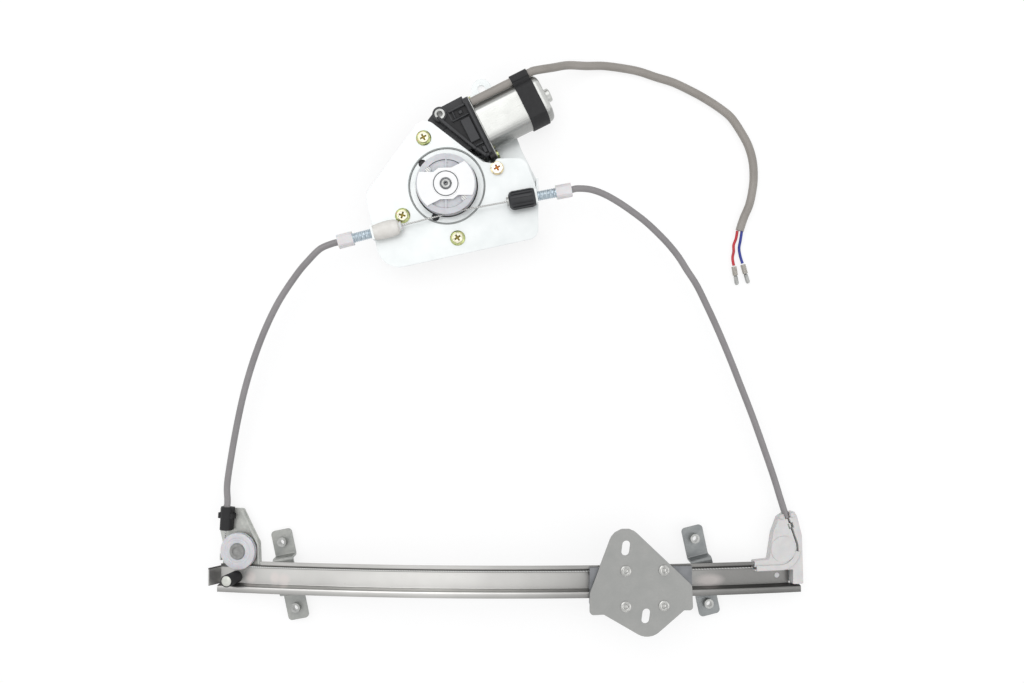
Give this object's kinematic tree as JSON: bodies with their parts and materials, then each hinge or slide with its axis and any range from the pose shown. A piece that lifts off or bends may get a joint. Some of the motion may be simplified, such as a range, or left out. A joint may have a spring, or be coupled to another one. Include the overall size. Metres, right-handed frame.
{
  "type": "window regulator",
  "caption": "Cable window regulator: bowed guide rail with a sliding lift plate, two conduits in long arcs and a drum plate with an electric worm gear motor and its lead.",
  "frame": {"origin": "middle of the box round everything but the motor's free lead, at the height of the surface it lies on", "axes": "+X along the guide rail towards the white end guide, +Y from the rail to the motor, +Z from the mounting side to the front"},
  "size_m": [0.5407, 0.5184, 0.0498],
  "materials": {
    "zinc_plate": "bright zinc, satin",
    "galvanised": "galvanised, slightly spangled",
    "dull_steel": "plain, machined or rolled",
    "chromate": "yellow chromate",
    "blue_zinc": "blue zinc on rolled thread",
    "black_plastic": "fine grain, moulded",
    "white_plastic": "moulded, slightly translucent",
    "grey_plastic": "moulded",
    "conduit_grey": "extruded, satin",
    "lead_grey": "soft sheath, matt",
    "rubber": "matt",
    "cable": "stranded",
    "copper": "lacquered",
    "bronze": "sintered",
    "magnet": "sintered",
    "red_pvc": "satin",
    "blue_pvc": "satin",
    "clear_sleeve": "clear, soft",
    "carbon": "pressed"
  },
  "bodies": {
    "frame": {"rear_bracket": "zinc_plate", "drum_plate": "zinc_plate", "gear_housing": "black_plastic", "gear_cover": "black_plastic", "mount_bush": "dull_steel", "flange_screws": "chromate", "hex_screw": "chromate", "motor_can": "zinc_plate", "motor_magnets": "magnet", "brush_holder": "black_plastic", "brushes": "carbon", "brush_springs": "cable", "shaft_bushes": "bronze", "motor_screws": "chromate", "can_band": "rubber", "lead_root": "lead_grey", "left_cable": "cable", "right_cable": "cable", "left_nipple": "white_plastic", "right_nipple": "white_plastic", "left_boot": "white_plastic", "right_nut": "black_plastic", "left_sleeve": "blue_zinc", "right_sleeve": "blue_zinc", "left_collar": "white_plastic", "right_collar": "white_plastic", "left_conduit": "conduit_grey", "right_conduit": "conduit_grey", "guide_rail": "galvanised", "left_cross_bracket": "galvanised", "right_cross_bracket": "galvanised", "weld_nuts": "dull_steel", "pulley_bracket": "galvanised", "conduit_fitting": "black_plastic", "pulley_rivet": "dull_steel", "bumper_rubber": "rubber", "bumper_stud": "zinc_plate", "end_guide": "white_plastic", "cable_ferrule": "dull_steel", "rail_cable": "cable", "motor_lead": "lead_grey", "red_wire": "red_pvc", "blue_wire": "blue_pvc", "wire_terminals": "copper", "terminal_sleeves": "clear_sleeve"},
    "carrier": {"lift_plate": "galvanised", "rail_slider": "black_plastic", "lift_rivets": "dull_steel", "cable_stops": "dull_steel"},
    "drum": {"cable_drum": "grey_plastic", "drum_cap": "white_plastic", "cable_turns": "cable", "output_shaft": "dull_steel", "wheel_damper": "rubber", "worm_wheel": "white_plastic"},
    "armature": {"worm_shaft": "dull_steel", "armature_core": "dull_steel", "armature_windings": "copper", "commutator": "copper"},
    "pulley_wheel": {"pulley": "white_plastic"}
  },
  "joints": [
    {"name": "armature_spin", "type": "hinge", "parent": "frame", "child": "armature", "pos_m": [-0.06829, 0.1781, 0.0194], "axis": [0.8934, 0.4493, 0], "range_deg": [-7446, 40128]},
    {"name": "drum_spin", "type": "hinge", "parent": "frame", "child": "drum", "pos_m": [-0.05324, 0.14818, 0.028], "axis": [0, 0, 1], "range_deg": [-132.97, 716.57]},
    {"name": "carrier_travel", "type": "hinge", "parent": "frame", "child": "carrier", "pos_m": [0.00336, -0.20463, -1.209], "axis": [0, 1, 0], "range_deg": [-14.55, 2.7]},
    {"name": "pulley_spin", "type": "hinge", "parent": "frame", "child": "pulley_wheel", "pos_m": [-0.24389, -0.18202, 0.01222], "axis": [-0.1984, 0, 0.9801], "range_deg": [-1294.95, 240.29]}
  ],
  "couplings": [
    {"joint": "drum_spin", "follows": "armature_spin", "ratio": 0.017857},
    {"joint": "carrier_travel", "follows": "armature_spin", "ratio": -0.00036259},
    {"joint": "pulley_spin", "follows": "armature_spin", "ratio": -0.03227}
  ]
}
